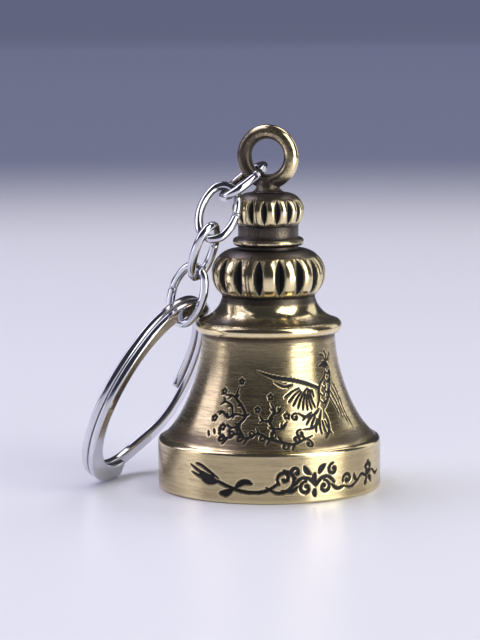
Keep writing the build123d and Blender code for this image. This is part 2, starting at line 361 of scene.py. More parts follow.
@dataclass(frozen=True)
class PlainMetal:
    """Unplated hardware that was only tumbled or turned."""

    name: str
    colour: Colour
    stain: Colour
    roughness: float = 0.34

    def build(self) -> bpy.types.Material:
        """Makes the material.

        Returns:
            A tarnished metal with fine marks round its axis.
        """
        bench = Bench(self.name)
        place = bench.place()
        marks = bench.noise(bench.around(place, 3.0, 7.0), 1.0, 3.0, 0.6)
        tarnish = bench.noise(place, 0.9, 4.0, 0.6).ramp(0.45, 0.75)
        return bench.surface(
            {
                "Base Color": bench.blend(tarnish * 0.7, self.colour, self.stain),
                "Metallic": 1.0,
                "Roughness": self.roughness + 0.15 * marks + 0.15 * tarnish,
                "Normal": bench.relief(marks, 0.3, 0.02),
            }
        )


# Mesh making


def arc(centre: Point, radius: float, start: float, end: float, count: int) -> list[Point]:
    """Points on a circle in the half section, from start to end in degrees."""
    turns = np.radians(np.linspace(start, end, count))
    return [(centre[0] + radius * math.cos(t), centre[1] + radius * math.sin(t)) for t in turns]


def through(first: Point, middle: Point, last: Point, count: int) -> list[Point]:
    """Points on the circle through three places, from the first to the last.

    Args:
        first: Where the arc starts.
        middle: A place that it passes.
        last: Where it ends.
        count: How many points to give.

    Returns:
        The arc's points, ends included.
    """
    (ax, ay), (bx, by), (cx, cy) = first, middle, last
    d = 2 * (ax * (by - cy) + bx * (cy - ay) + cx * (ay - by))
    sa, sb, sc = ax * ax + ay * ay, bx * bx + by * by, cx * cx + cy * cy
    ux = (sa * (by - cy) + sb * (cy - ay) + sc * (ay - by)) / d
    uy = (sa * (cx - bx) + sb * (ax - cx) + sc * (bx - ax)) / d
    angles = [math.degrees(math.atan2(y - uy, x - ux)) for x, y in (first, middle, last)]
    start, passing, end = angles
    if (passing - start) % 360 > (end - start) % 360:
        end = start - (start - end) % 360
    else:
        end = start + (end - start) % 360
    return arc((ux, uy), math.hypot(ax - ux, ay - uy), start, end, count)


def bezier(a: Point, b: Point, c: Point, d: Point, count: int) -> list[Point]:
    """Points on a cubic curve from a to d, drawn towards b and c."""
    t = np.linspace(0, 1, count)[:, None]
    curve = (
        (1 - t) ** 3 * a + 3 * (1 - t) ** 2 * t * b + 3 * (1 - t) * t**2 * c + t**3 * np.array(d)
    )
    return [(float(x), float(y)) for x, y in curve]


def spaced(outline: Sequence[Point], step: float) -> list[Point]:
    """An outline with extra points, so that no side is longer than step."""
    out: list[Point] = []
    for (ax, ay), (bx, by) in zip(outline, outline[1:], strict=False):
        parts = max(1, math.ceil(math.hypot(bx - ax, by - ay) / step))
        out += [(ax + (bx - ax) * k / parts, ay + (by - ay) * k / parts) for k in range(parts)]
    return [*out, outline[-1]]


def even(count: int) -> np.ndarray:
    """Azimuths round the whole turn, in radians."""
    return np.linspace(-math.pi, math.pi, count, endpoint=False)


def bump(distance: np.ndarray, reach: float) -> np.ndarray:
    """A soft bump, 1 at no distance and fading over reach."""
    return np.exp(-((distance / reach) ** 2))


def step_up(values: np.ndarray, low: float, high: float) -> np.ndarray:
    """A smooth step from 0 at low to 1 at high."""
    t = np.clip((values - low) / (high - low), 0, 1)
    return t * t * (3 - 2 * t)


def placed(name: str, data: bpy.types.ID) -> bpy.types.Object:
    """Links a new object that holds the data."""
    made = bpy.data.objects.new(name, data)
    bpy.context.scene.collection.objects.link(made)
    return made


def paint(mesh: bpy.types.Mesh, masks: Masks) -> None:
    """Writes masks to a mesh, one number from 0 to 1 per vertex."""
    for key, mask in masks.items():
        layer = mesh.attributes.new(key, "FLOAT", "POINT")
        layer.data.foreach_set("value", np.clip(mask, 0, 1).astype(np.float32).ravel())


def mesh_object(
    name: str, points: np.ndarray, faces: np.ndarray | list, masks: Masks
) -> bpy.types.Object:
    """A smooth-shaded object from points in millimetres.

    Args:
        name: The piece's name.
        points: One row per vertex.
        faces: Vertex numbers of each face.
        masks: Painted masks, one number per vertex.

    Returns:
        The linked object.
    """
    mesh = bpy.data.meshes.new(name)
    rows = faces if isinstance(faces, list) else faces.tolist()
    mesh.from_pydata((points * METRES_PER_MM).tolist(), [], rows)
    paint(mesh, masks)
    mesh.validate()
    mesh.polygons.foreach_set("use_smooth", [True] * len(mesh.polygons))
    mesh.update()
    return placed(name, mesh)


def grid_faces(rows: int, columns: int, close_rows: bool = True) -> np.ndarray:
    """Quads of a grid whose columns close on themselves, and whose rows may."""
    last = rows if close_rows else rows - 1
    row, column = np.meshgrid(np.arange(last), np.arange(columns), indexing="ij")
    below, beside = (row + 1) % rows, (column + 1) % columns
    corners = [
        row * columns + column,
        row * columns + beside,
        below * columns + beside,
        below * columns + column,
    ]
    return np.stack([corner.ravel() for corner in corners], 1)


def turned(
    name: str, outline: Sequence[Point], azimuths: np.ndarray, shape: Callable[
        ..., tuple[np.ndarray, Masks]
    ]
) -> bpy.types.Object:
    """A closed half section swept round Z.

    Args:
        name: The piece's name.
        outline: The section's points as (radius, height), counter-clockwise and not repeated.
        azimuths: The columns, in radians.
        shape: Takes radius, height and azimuth grids; gives new radii and masks.

    Returns:
        The linked object.
    """
    section = np.array(outline)
    radius = np.repeat(section[:, :1], len(azimuths), 1)
    height = np.repeat(section[:, 1:], len(azimuths), 1)
    azimuth = np.repeat(azimuths[None, :], len(section), 0)
    radius, masks = shape(radius, height, azimuth)
    points = np.stack(
        [radius * np.sin(azimuth), -radius * np.cos(azimuth), height], -1
    ).reshape(-1, 3)
    return mesh_object(name, points, grid_faces(len(section), len(azimuths)), masks)


def dressed(
    piece: bpy.types.Object, body: str, slot: str, finish: bpy.types.Material, *nodes: str
) -> None:
    """Gives a piece its finish, its body and the CAD nodes that it stands for.

    Args:
        piece: The visible piece.
        body: The body that carries it.
        slot: The record's material slot; not used.
        finish: Its material.
        nodes: The CAD nodes that it replaces.
    """
    piece.data.materials.clear()
    piece.data.materials.append(finish)
    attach(piece, body)
    if nodes:
        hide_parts(*nodes)
    LOG.info("%s: %d faces, rides on %s", piece.name, len(piece.data.polygons), body)


# Engraving


@dataclass
class Burin:
    """An engraver's tool: collects strokes on a turned face, then cuts them into it.

    A stroke is a row of (x, y) in millimetres and its half widths. x runs along the face at
    the reference radius and y is the height, both from the drawing's own centre.
    """

    radius: float
    azimuth: float
    height: float
    strokes: list[tuple[np.ndarray, np.ndarray]] = field(default_factory=list)

    def draw(
        self, points: Sequence[Point], width: float, ends: tuple[float, float] = (0.35, 0.35)
    ) -> None:
        """Draws a smooth line through its points.

        Args:
            points: The places that it passes.
            width: Its full width.
            ends: The share of the width at its start and its end.
        """
        knots = np.array([points[0], *points, points[-1]], float)
        t = np.linspace(0, 1, 7)[:-1, None]
        runs = []
        for a, b, c, d in zip(knots, knots[1:], knots[2:], knots[3:], strict=False):
            runs.append(
                0.5 * (2 * b + (c - a) * t + (2 * a - 5 * b + 4 * c - d) * t**2 + (
                    3 * b - a - 3 * c + d
                ) * t**3)
            )
        line = np.vstack([*runs, knots[-1:]])
        along = np.linspace(0, 1, len(line))
        share = ends[0] + (1 - ends[0]) * np.clip(along * 4, 0, 1)
        share = np.minimum(share, ends[1] + (1 - ends[1]) * np.clip((1 - along) * 4, 0, 1))
        self.strokes.append((line, share * width / 2))

    def dot(self, centre: Point, radius: float) -> None:
        """Sinks a round dot."""
        self.strokes.append((np.array([centre, centre], float), np.array([radius, radius])))

    def twig(self, points: Sequence[Point], width: float, spur: float = 0.6) -> None:
        """Draws a crooked twig with a short spur at each bend.

        Args:
            points: The places that it passes.
            width: Its full width.
            spur: The spurs' length; they lean to alternate sides.
        """
        self.draw(points, width, (0.9, 0.4))
        for k in range(1, len(points) - 1):
            (ax, ay), (bx, by), (cx, cy) = points[k - 1 : k + 2]
            lean = math.radians(62 if k % 2 else -62)
            heading = math.atan2(cy - ay, cx - ax) + lean
            self.draw(
                [(bx, by), (bx + spur * math.cos(heading), by + spur * math.sin(heading))],
                width * 0.8,
                (0.9, 0.5),
            )

    def curl(self, centre: Point, radius: float, start: float, turns: float, width: float) -> None:
        """Draws a spiral that closes on its centre and ends in a dot.

        Args:
            centre: The spiral's middle.
            radius: Its outer radius.
            start: The angle where it enters, in degrees.
            turns: How many turns it makes; negative ones run clockwise.
            width: The line's full width.
        """
        t = np.linspace(0, 1, 26)
        angle = np.radians(start) + t * turns * 2 * math.pi
        reach = radius * (1 - 0.72 * t)
        line = np.stack([centre[0] + reach * np.cos(angle), centre[1] + reach * np.sin(angle)], 1)
        widths = np.where(t > 0.9, width * 0.66, width / 2 * (0.75 + 0.25 * np.sin(t * math.pi)))
        self.strokes.append((line, widths))

    def leaf(self, base: Point, tip: Point, width: float) -> None:
        """Cuts a solid leaf, pointed at both ends."""
        t = np.linspace(0, 1, 15)[:, None]
        side = np.array([-(tip[1] - base[1]), tip[0] - base[0]]) * 0.12
        line = np.array(base) * (1 - t) + np.array(tip) * t + side * np.sin(t * math.pi)
        self.strokes.append((line, (width / 2 * np.sin(t * math.pi) ** 0.8 + 0.04)[:, 0]))

    def fan(
        self, root: Point, angles: Point, reach: Point, count: int, width: float, inner: float = 0.0
    ) -> None:
        """Draws feathers that spread from a root.

        Args:
            root: Where they meet.
            angles: The first and last feather's angle, in degrees.
            reach: The first and last feather's length.
            count: How many feathers there are.
            width: Their full width.
            inner: The share of the length left blank at the root.
        """
        for share in np.linspace(0, 1, count):
            heading = math.radians(angles[0] + (angles[1] - angles[0]) * share)
            length = reach[0] + (reach[1] - reach[0]) * share
            line = []
            for step in (inner, (1 + inner) / 2, 1.0):
                turn = heading + math.radians(9) * step**2
                line.append((
                    root[0] + length * step * math.cos(turn),
                    root[1] + length * step * math.sin(turn),
                ))
            self.draw(line, width, (0.8, 0.6))

    def blossom(self, centre: Point, radius: float) -> None:
        """Sinks a small flower of five round petals."""
        for k in range(5):
            angle = math.radians(90 + 72 * k)
            petal = (
                centre[0] + radius * 0.6 * math.cos(angle),
                centre[1] + radius * 0.6 * math.sin(angle),
            )
            self.dot(petal, radius * 0.4)

    def nearest(
        self, radius: np.ndarray, run: np.ndarray, azimuth: np.ndarray, run_at: Callable
    ) -> np.ndarray:
        """How far each place of the face is outside the nearest stroke.

        Args:
            radius: The face's radius at each place.
            run: The distance along the section at each place.
            azimuth: The azimuth at each place.
            run_at: Gives the distance along the section at a height.

        Returns:
            Millimetres outside the stroke's edge, negative inside it.
        """
        nearest = np.full(radius.shape, NO_STROKE)
        for line, widths in self.strokes:
            turn = math.radians(self.azimuth) + line[:, 0] / self.radius
            along = run_at(self.height + line[:, 1])
            reach = 0.5 + widths.max()
            aside = reach / LEAST_ENGRAVED_RADIUS
            near = (
                (azimuth > turn.min() - aside) & (azimuth < turn.max() + aside)
                & (run > along.min() - reach) & (run < along.max() + reach)
            )
            if not near.any():
                continue
            r, u, a = radius[near], run[near], azimuth[near]
            best = nearest[near]
            for k in range(len(line) - 1):
                px, py = (turn[k] - a) * r, along[k] - u
                dx, dy = (turn[k + 1] - turn[k]) * r, along[k + 1] - along[k]
                size = np.maximum(dx * dx + dy * dy, 1e-9)
                t = np.clip(-(px * dx + py * dy) / size, 0, 1)
                gap = np.hypot(px + dx * t, py + dy * t) - (
                    widths[k] + (widths[k + 1] - widths[k]) * t
                )
                best = np.minimum(best, gap)
            nearest[near] = best
        return nearest


def crested_bird() -> Burin:
    """A crested bird with a raised wing and a spread tail, on the right of the waist."""
    tool = Burin(radius=10.6, azimuth=33.0, height=12.8)
    line = 0.36
    # The near wing.
    tool.draw([(-7.9, 3.9), (-5.4, 3.1), (-2.9, 2.7), (-0.8, 2.2), (1.2, 1.5)], 0.56, (0.2, 0.8))
    tool.draw([(-5.4, 2.5), (-4.0, 1.9), (-2.7, 2.1)], line)
    tool.fan((-0.2, 2.0), (192, 268), (4.1, 3.0), 8, 0.29, 0.42)
    tool.fan((0.3, 1.9), (205, 262), (1.9, 1.5), 4, 0.28, 0.45)
    # Neck, back and breast.
    tool.draw(
        [(3.1, 4.2), (3.5, 3.5), (3.0, 2.7), (2.0, 2.0), (1.4, 1.1), (1.1, 0.0), (0.5, -1.0)], line
    )
    tool.draw(
        [(4.2, 4.6), (4.7, 3.7), (4.4, 2.6), (3.8, 1.6), (3.1, 0.4), (2.2, -0.6), (1.3, -1.4)], 0.4
    )
    for x, y in ((4.0, 3.2), (3.5, 2.2), (2.6, 1.4), (2.9, 0.9), (2.0, 0.5), (1.7, -0.4)):
        tool.draw([(x - 0.42, y + 0.2), (x, y - 0.2), (x + 0.42, y + 0.2)], 0.27, (0.7, 0.7))
    # Head and crest.
    tool.leaf((4.5, 4.3), (3.0, 4.6), 0.85)
    tool.leaf((3.5, 4.7), (2.1, 4.1), 0.34)
    for crest in (
        [(3.8, 4.9), (3.5, 5.5), (2.9, 5.6)],
        [(4.1, 4.9), (4.3, 5.5), (4.0, 6.0)],
        [(4.3, 4.7), (4.9, 5.1), (5.3, 5.6)],
    ):
        tool.draw(crest, 0.3, (0.9, 0.6))
        tool.dot(crest[-1], 0.2)
    # The far wing.
    for k in range(4):
        base = (3.2 + 0.5 * k, 0.1 + 0.6 * k)
        tool.draw(
            [base, (base[0] + 0.55, base[1] - 1.6), (3.7 + 0.56 * k, -2.4 - 0.6 * k)],
            0.36,
            (0.8, 0.5),
        )
    # The tail.
    tool.draw([(0.8, -1.1), (-0.2, -1.8), (-1.5, -2.0), (-2.5, -1.5)], line)
    tool.draw([(1.0, -1.3), (0.2, -2.6), (-0.9, -3.4), (-2.2, -3.5)], line)
    tool.draw([(1.3, -1.4), (1.5, -2.8), (1.1, -4.0), (0.3, -4.8)], line)
    tool.fan((1.0, -1.0), (196, 268), (3.3, 3.4), 7, 0.28, 0.5)
    tool.curl((-2.9, -2.0), 0.5, 60, 0.9, 0.3)
    tool.curl((-2.6, -4.0), 0.5, 80, 0.9, 0.3)
    return tool


def blossom_branch() -> Burin:
    """Crooked blossom twigs over a line of ground curls, on the left and middle of the waist."""
    tool = Burin(radius=11.4, azimuth=-10.0, height=8.0)
    line = 0.34
    tool.twig([(-1.1, 0.6), (-1.9, 1.8), (-1.2, 3.0), (-1.9, 4.3), (-2.9, 5.2), (-2.6, 6.6)], 0.44)
    tool.twig([(-1.4, 3.0), (-2.7, 3.2), (-3.6, 2.7), (-4.6, 3.4), (-5.3, 3.2)], line)
    tool.twig([(-3.0, 3.1), (-3.4, 4.2), (-4.5, 4.6), (-5.2, 4.2)], line)
    tool.twig([(-2.4, 4.8), (-3.6, 5.5), (-4.6, 5.4)], line)
    tool.twig([(-1.7, 1.8), (-2.8, 1.5), (-3.5, 1.9)], line)
    for place in ((-2.3, 7.3), (-5.0, 5.9), (-5.6, 2.5), (-4.0, 1.5)):
        tool.blossom(place, 0.52)
    tool.twig([(2.1, 0.2), (2.5, 1.4), (2.0, 2.5), (2.7, 3.6), (2.2, 4.7)], 0.42)
    tool.twig([(2.2, 2.4), (1.2, 2.5), (0.7, 3.2)], line)
    tool.twig([(2.5, 1.5), (3.5, 1.5), (4.2, 2.3)], line)
    tool.twig([(2.5, 3.3), (3.3, 3.5), (3.6, 4.1)], line)
    for place in ((2.2, 5.4), (0.4, 3.8), (4.3, 3.0)):
        tool.blossom(place, 0.5)
    ground = [
        (-4.3, 0.7), (-3.2, 0.2), (-2.0, 0.8), (-0.7, 0.3), (0.6, 0.9),
        (1.9, 0.3), (3.2, -0.1), (4.6, -0.4), (6.0, 0.1), (7.2, 0.5),
    ]
    tool.draw(ground, 0.4)
    for k, (x, y) in enumerate(ground[:-1]):
        side = 1 if k % 2 else -1
        tool.curl((x + 0.5, y + 0.55 * side), 0.48, -90 * side, 0.9 * side, 0.28)
        tool.draw([(x + 0.2, y), (x - 0.2, y - 0.7 * side)], 0.3, (0.9, 0.5))
    tool.draw([(-5.9, 0.9), (-5.5, 0.3)], 0.3)
    tool.draw([(-5.2, 1.2), (-4.8, 0.6)], 0.3)
    return tool


def band_scroll(azimuth: float) -> Burin:
    """Half of the lip band's border: a bud on its stem, then scrollwork mirrored about its middle."""
    tool = Burin(radius=15.0, azimuth=azimuth, height=0.0)
    thick = 0.46
    tool.leaf((-6.9, 2.75), (-9.9, 4.0), 1.25)
    tool.draw([(-6.8, 3.15), (-9.2, 4.6), (-10.4, 4.95)], 0.36)
    tool.draw([(-7.1, 3.45), (-9.0, 3.6), (-11.4, 4.7)], 0.36)
    tool.draw([(-7.0, 2.65), (-9.0, 3.0), (-11.2, 3.75)], 0.36)
    stem = [
        (-6.9, 2.8), (-5.6, 2.3), (-4.4, 1.9), (-3.2, 1.65), (-1.6, 1.6), (-0.2, 1.9), (0.9, 2.6)
    ]
    tool.draw(stem, 0.42, (1.0, 0.8))
    tool.leaf((-4.6, 2.0), (-2.5, 3.1), 0.7)
    tool.leaf((-3.7, 2.75), (-2.2, 2.7), 0.5)
    tool.leaf((-4.8, 1.9), (-6.8, 1.35), 0.85)
    tool.leaf((-5.6, 1.6), (-5.9, 0.95), 0.6)
    tool.curl((1.9, 3.4), 1.0, 230, -0.95, thick)
    tool.draw(
        [(-0.4, 2.2), (0.9, 1.5), (2.2, 1.7), (3.1, 2.6), (3.0, 3.9), (1.9, 4.4)], thick, (0.6, 0.9)
    )
    middle = 6.15
    for side in (-1, 1):
        place = [(0.0, 2.3), (0.9, 3.2), (2.0, 3.3), (2.9, 2.5)]
        tool.draw([(middle + side * x, y) for x, y in place], thick, (0.8, 0.8))
        tool.curl((middle + side * 2.7, 4.2), 0.8, 90 - 180 * (side < 0), 0.9 * side, thick)
        tool.curl((middle + side * 1.35, 2.0), 0.9, 90, -0.95 * side, thick)
        tool.leaf((middle + side * 0.55, 3.75), (middle + side * 1.55, 5.0), 0.65)
        tool.draw([(middle + side * x, y) for x, y in ((2.4, 2.3), (3.4, 1.6), (4.6, 1.8))], thick)
    tool.leaf((middle, 2.6), (middle, 4.0), 0.6)
    tool.leaf((middle, 0.75), (middle, 1.9), 0.55)
    tool.curl((11.3, 2.7), 0.8, 200, -0.95, thick)
    tool.draw([(10.7, 1.8), (12.0, 1.55), (13.2, 2.1), (14.2, 2.9), (15.4, 2.6), (17.0, 3.2)], 0.42)
    tool.leaf((13.2, 2.2), (12.6, 3.3), 0.55)
    tool.blossom((15.9, 3.6), 1.0)
    tool.leaf((15.9, 2.4), (16.9, 1.5), 0.7)
    tool.leaf((15.6, 2.4), (14.9, 1.4), 0.7)
    tool.draw([(17.0, 3.2), (18.3, 2.4), (19.4, 2.7)], 0.42)
    return tool


# Bell, from the lip up


def lowest(node: str) -> float:
    """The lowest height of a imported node, in millimetres."""
    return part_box(node)[0].z * MM_PER_METRE


def highest(node: str) -> float:
    """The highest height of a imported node, in millimetres."""
    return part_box(node)[1].z * MM_PER_METRE


@dataclass
class BellShell:
    """The turned and engraved shell."""

    lip_radius: float = 15.0
    lip_wall: float = 1.6
    lip_edge: float = 0.25
    band_height: float = 6.75
    band_edge: float = 0.55
    wall: float = 1.3
    waist_top_radius: float = 8.9
    crown_thickness: float = 1.5
    bore_radius: float = BORE_RADIUS
    flare_angle: float = 35.0
    flare_reach: float = 3.2
    waist_reach: float = 5.3
    cut_depth: float = 0.15
    fine_from: float = -52.0
    fine_to: float = 86.0
    fine_step: float = 0.42
    coarse_step: float = 0.8
    row_step: float = 0.11

    def _waist(
        self, radius: float, height: float, top_radius: float, top: float, count: int
    ) -> list[Point]:
        """The flare's curve, from the band to the crown."""
        angle = math.radians(self.flare_angle)
        leave = (
            radius - math.cos(angle) * self.flare_reach, height + math.sin(angle) * self.flare_reach
        )
        return bezier(
            (radius, height), leave, (top_radius, top - self.waist_reach), (top_radius, top), count
        )

    def _outside(self, crown: float) -> list[Point]:
        """The outer face from the lip to the crown's edge."""
        band_side = self.band_height - self.band_edge
        points = arc((self.lip_radius - self.lip_edge, self.lip_edge), self.lip_edge, -90, 0, 5)
        points += spaced(
            [(self.lip_radius, self.lip_edge), (self.lip_radius, band_side)], self.row_step
        )[1:]
        points += arc((self.lip_radius - self.band_edge, band_side), self.band_edge, 0, 90, 8)[1:]
        count = round(15.5 / self.row_step)
        waist = self._waist(
            self.lip_radius - self.band_edge, self.band_height, self.waist_top_radius, crown, count
        )
        return points + waist[1:]

    def _inside(self, crown: float) -> list[Point]:
        """The crown's top, the bore and the inner face down to the lip."""
        under = crown - self.crown_thickness
        inner_top = self.waist_top_radius - self.wall
        inner_lip = self.lip_radius - self.lip_wall
        points = spaced([(self.waist_top_radius, crown), (self.bore_radius, crown)], 2.5)[1:]
        points += spaced([(self.bore_radius, under), (inner_top, under)], 2.0)
        points += self._waist(
            inner_lip, self.band_height - self.wall, inner_top, under, 20
        )[::-1][1:]
        return points + spaced(
            [(inner_lip, self.band_height - self.wall), (inner_lip, 0.0)], 1.8
        )[1:]

    def _columns(self) -> np.ndarray:
        """Azimuths, close together where the engraving is."""
        fine = np.arange(self.fine_from, self.fine_to, self.fine_step)
        coarse = np.arange(self.fine_to, 360 + self.fine_from, self.coarse_step)
        return np.radians(np.concatenate([fine, coarse]))

    def build(self, finish: bpy.types.Material) -> None:
        """Makes the shell and cuts its drawings.

        Args:
            finish: The shell's material.
        """
        crown = highest("bell_shell")
        outside = self._outside(crown)
        outline = outside + self._inside(crown)
        section = np.array(outside)
        steps = np.hypot(*np.diff(section, axis=0).T)
        run = np.concatenate([[0.0], np.cumsum(steps)])
        rows = len(outside)
        drawings = [crested_bird(), blossom_branch(), band_scroll(0.0), band_scroll(180.0)]

        def shape(
            radius: np.ndarray, height: np.ndarray, azimuth: np.ndarray
        ) -> tuple[np.ndarray, Masks]:
            """Cuts the drawings into the outer rows and paints the masks."""
            gap = np.full(radius.shape, NO_STROKE)
            runs = np.repeat(run[:, None], radius.shape[1], 1)
            for drawing in drawings:
                found = drawing.nearest(
                    radius[:rows], runs, azimuth[:rows], lambda at: np.interp(
                        at, section[:, 1], run
                    )
                )
                gap[:rows] = np.minimum(gap[:rows], found)
            cut = 1 - step_up(gap, -0.05, 0.035)
            black = 1 - step_up(gap, 0.0, 0.06)
            outer = np.zeros(radius.shape)
            outer[:rows] = 1
            # Painted shadow under the shoulder cap's overhanging rim, painted shade in the crease
            # above the band, and an even darkening of the inner faces.
            sheltered = 0.6 * bump(height - crown, 0.35) + 0.10 * bump(height - crown, 3.0)
            sheltered = outer * (sheltered + 0.3 * bump(height - 7.7, 0.9)) + 0.35 * (1 - outer)
            worn = outer * (
                0.9 * bump(height - self.band_height + 0.2, 0.3) + 0.7 * bump(height, 0.35)
            )
            worn = worn + 0.3 * bump(gap - 0.15, 0.08) * (gap > 0)
            return radius - self.cut_depth * cut, {
                "cut": black, "sheltered": sheltered, "worn": worn
            }

        piece = turned("bell_shell_engraved", outline, self._columns(), shape)
        dressed(piece, "bell", "antique_bronze_shell", finish, "bell_shell")


@dataclass(frozen=True)
class PartingLine:
    """The thin raised line that a two-part mould leaves up one side of a casting."""

    azimuth: float = -21.75
    proud: float = 0.045
    width: float = 0.10

    def add(self, radius: np.ndarray, azimuth: np.ndarray) -> tuple[np.ndarray, np.ndarray]:
        """Raises the line.

        Args:
            radius: The face's radius.
            azimuth: Its azimuth in radians.

        Returns:
            The new radius and the dirt that lies beside the line.
        """
        aside = (azimuth - math.radians(self.azimuth)) * radius
        opposite = (np.abs(azimuth - math.radians(self.azimuth)) - math.pi) * radius
        ridge = bump(aside, self.width) + bump(opposite, self.width)
        dirt = bump(aside - 0.2, 0.12) + bump(aside + 0.2, 0.12) + bump(opposite, 0.3)
        return radius + self.proud * ridge, 0.6 * dirt


@dataclass
class ShoulderCap:
    """The cast cap with its half-round rim."""

    seat: float = 9.0
    overhang: float = 0.1
    rim_radius: float = 9.85
    rim_height: float = 1.75
    top_radius: float = 6.25
    hollow: float = 0.35
    bore_radius: float = BORE_RADIUS

    def build(self, finish: bpy.types.Material) -> None:
        """Makes the cap.

        Args:
            finish: Its material.
        """
        base, top = lowest("shoulder_cap"), highest("shoulder_cap")
        rim_top, slope_top = base + self.rim_height, top - self.hollow
        middle = (
            (self.seat + self.top_radius) / 2 - self.hollow, (rim_top + slope_top) / 2 - self.hollow
        )
        outline = [(self.seat, base)]
        outline += through(
            (self.seat, base), (self.rim_radius, base + self.rim_height / 2), (
                self.seat + self.overhang, rim_top
            ), 28
        )[1:]
        outline += through(
            (self.seat + self.overhang, rim_top), middle, (self.top_radius, slope_top), 26
        )[1:]
        outline += [(self.top_radius, top)]
        outline += spaced([(self.bore_radius, top), (self.bore_radius, base)], 1.2)
        outline += spaced([(self.bore_radius, base), (self.seat, base)], 1.5)[1:-1]

        def shape(
            radius: np.ndarray, height: np.ndarray, azimuth: np.ndarray
        ) -> tuple[np.ndarray, Masks]:
            """Paints shade under the knop, under the rim and in the crease above it, and the rubbed
            rim.
            """
            outer = radius > self.top_radius - 0.1
            # Painted shade where the knop sits on the cap, under the rim and just above it.
            sheltered = outer * (0.8 * bump(height - top, 0.8) + 0.5 * bump(height - base, 0.25))
            sheltered = sheltered + outer * 0.25 * bump(height - rim_top - 0.5, 0.8)
            slope = (rim_top + slope_top) / 2
            worn = outer * (
                0.55 * bump(height - base - 0.8, 0.6) + 0.75 * bump(height - slope, 0.8)
            )
            return radius, {"sheltered": sheltered, "worn": worn}

        piece = turned("shoulder_cap_cast", outline, even(200), shape)
        dressed(piece, "bell", "antique_bronze_cast", finish, "shoulder_cap")


@dataclass
class FlutedKnop:
    """A cast knop with lens-shaped slots, black inside and rubbed bright on the ribs."""

    node: str
    radius: float
    belly: float
    foot_radius: float
    top_radius: float
    depth: float
    width: float
    from_front: float
    round_over: bool
    count: int = 16
    bore_radius: float = BORE_RADIUS
    rib_crown: float = 0.13

    def _face(self, base: float, top: float) -> list[Point]:
        """The outer outline, from the foot to the top."""
        if not self.round_over:
            return through(
                (self.foot_radius, base),
                (self.radius, base + self.belly),
                (self.top_radius, top),
                70,
            )
        inset = self.radius - self.foot_radius
        curve = (inset**2 + self.belly**2) / (2 * inset)
        foot_angle = -math.degrees(math.asin(self.belly / curve))
        points = arc((self.radius - curve, base + self.belly), curve, foot_angle, 0, 30)
        rise = top - base - self.belly
        over = bezier(
            (self.radius, base + self.belly),
            (self.radius, base + self.belly + rise / 2),
            ((self.radius + self.top_radius) / 2, top),
            (self.top_radius, top),
            34,
        )
        return points + over[1:]

    def build(self, finish: bpy.types.Material, line: PartingLine) -> None:
        """Makes the knop.

        Args:
            finish: Its material.
            line: The mould's parting line.
        """
        base, top = lowest(self.node), highest(self.node)
        face = self._face(base, top)
        outline = face + spaced([(self.bore_radius, top), (self.bore_radius, base)], 1.5)
        outline += spaced([(self.bore_radius, base), (self.foot_radius, base)], 1.2)[1:-1]
        pitch = 2 * math.pi / self.count
        bottom = self.radius - self.depth
        slope = self.depth / (self.width / 2)

        def shape(
            radius: np.ndarray, height: np.ndarray, azimuth: np.ndarray
        ) -> tuple[np.ndarray, Masks]:
            """Cuts the slots, crowns the ribs and paints the masks."""
            outer = np.zeros(radius.shape)
            outer[: len(face)] = 1
            off = (azimuth - math.radians(self.from_front)) / pitch
            off = np.abs(off - np.round(off)) * pitch
            groove = bottom / np.maximum(np.cos(off) - slope * np.sin(off), 0.2)
            fade = step_up(radius - bottom, -0.1, 0.5)
            rib = radius - self.rib_crown * fade * np.clip(
                (pitch / 2 - off) / (pitch * 0.28), 0, 1
            ) ** 2
            soft = 0.05
            blend = np.clip(0.5 + 0.5 * (groove - rib) / soft, 0, 1)
            cut_radius = groove * (1 - blend) + rib * blend - soft * blend * (1 - blend)
            new = np.where(outer > 0, np.minimum(cut_radius, radius), radius)
            depth = np.where(outer > 0, radius - new, 0)
            cut = step_up(depth, 0.05, 0.2)
            worn = outer * (0.35 * bump(groove - rib, 0.16) + 0.42) * fade
            new, dirt = line.add(new, azimuth)
            new = np.where(outer > 0, np.minimum(new, self.radius), radius)
            # Painted shade at the knop's foot and top, where it meets the pieces below and above;
            # beside the parting line the darkening is dirt.
            ends = 0.8 * bump(height - base, 0.35) + 0.95 * bump(height - top, 0.7)
            sheltered = outer * (ends + dirt * (1 - cut))
            return new, {"cut": cut * outer, "sheltered": sheltered, "worn": worn}

        piece = turned(f"{self.node}_fluted", outline, even(self.count * 22), shape)
        dressed(piece, "bell", "antique_bronze_cast", finish, self.node)


